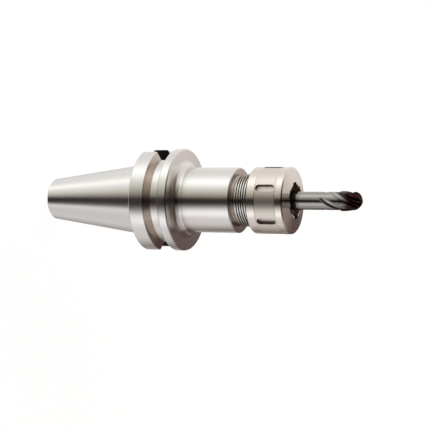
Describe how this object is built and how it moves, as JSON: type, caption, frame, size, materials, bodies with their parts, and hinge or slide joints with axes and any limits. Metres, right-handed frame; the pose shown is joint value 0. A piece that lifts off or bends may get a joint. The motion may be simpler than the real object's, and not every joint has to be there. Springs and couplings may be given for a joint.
{
  "type": "collet chuck holder",
  "caption": "Steep-taper collet chuck holder with a gripper flange, bearing clamping nut, slotted collet, stop screw and a ball-nose end mill.",
  "frame": {"origin": "centre of the gauge line (the largest diameter) of the steep taper", "axes": "+Z along the spindle axis, from the taper's small end towards the cutting edge; the two drive-key slots lie on +X and -X; it stands on the taper's small end"},
  "size_m": [0.063, 0.063, 0.2057],
  "materials": {
    "holder_steel": "ground, bright",
    "nut_steel": "nickel plated, satin band between polished ends",
    "collet_steel": "ground",
    "bearing_steel": "lapped",
    "cage_brass": "machined",
    "spring_steel": "oiled",
    "coated_carbide": "dark coated, ground",
    "black_steel": "black oxide",
    "seal_rubber": "matt"
  },
  "bodies": {
    "holder": {"holder_body": "holder_steel"},
    "collet_carriage": {"collet": "collet_steel", "thrust_ring": "bearing_steel"},
    "nut": {"clamping_nut": "nut_steel", "retaining_ring": "spring_steel"},
    "ball_race": {"ball_cage": "cage_brass", "bearing_ball_01": "bearing_steel", "bearing_ball_02": "bearing_steel", "bearing_ball_03": "bearing_steel", "bearing_ball_04": "bearing_steel", "bearing_ball_05": "bearing_steel", "bearing_ball_06": "bearing_steel", "bearing_ball_07": "bearing_steel", "bearing_ball_08": "bearing_steel", "bearing_ball_09": "bearing_steel", "bearing_ball_10": "bearing_steel", "bearing_ball_11": "bearing_steel", "bearing_ball_12": "bearing_steel", "bearing_ball_13": "bearing_steel", "bearing_ball_14": "bearing_steel", "bearing_ball_15": "bearing_steel", "bearing_ball_16": "bearing_steel", "bearing_ball_17": "bearing_steel", "bearing_ball_18": "bearing_steel"},
    "tool": {"end_mill": "coated_carbide"},
    "stop_seal": {"stop_screw_o_ring": "seal_rubber"},
    "stop": {"stop_screw": "black_steel"}
  },
  "joints": [
    {"name": "carriage_slide", "type": "slide", "parent": "holder", "child": "collet_carriage", "axis": [0, 0, 1], "range_m": [0, 0.012]},
    {"name": "nut_turn", "type": "hinge", "parent": "collet_carriage", "child": "nut", "pos_m": [0, 0, 0.086], "axis": [0, 0, 1], "range_deg": [0, 2880.1]},
    {"name": "ball_race_turn", "type": "hinge", "parent": "collet_carriage", "child": "ball_race", "pos_m": [0, 0, 0.0929], "axis": [0, 0, 1], "range_deg": [0, 1440.1]},
    {"name": "end_mill_slide", "type": "slide", "parent": "collet_carriage", "child": "tool", "axis": [0, 0, 1], "range_m": [0, 0.0552]},
    {"name": "seal_slide", "type": "slide", "parent": "holder", "child": "stop_seal", "axis": [0, 0, 1], "range_m": [-0.012, 0]},
    {"name": "stop_screw_turn", "type": "hinge", "parent": "stop_seal", "child": "stop", "pos_m": [0, 0, 0.03], "axis": [0, 0, 1], "range_deg": [-2880.1, 0]}
  ],
  "couplings": [
    {"joint": "nut_turn", "follows": "carriage_slide", "rad_per_m": 4188.8},
    {"joint": "ball_race_turn", "follows": "carriage_slide", "rad_per_m": 2094.4},
    {"joint": "stop_screw_turn", "follows": "seal_slide", "rad_per_m": 4188.8}
  ]
}
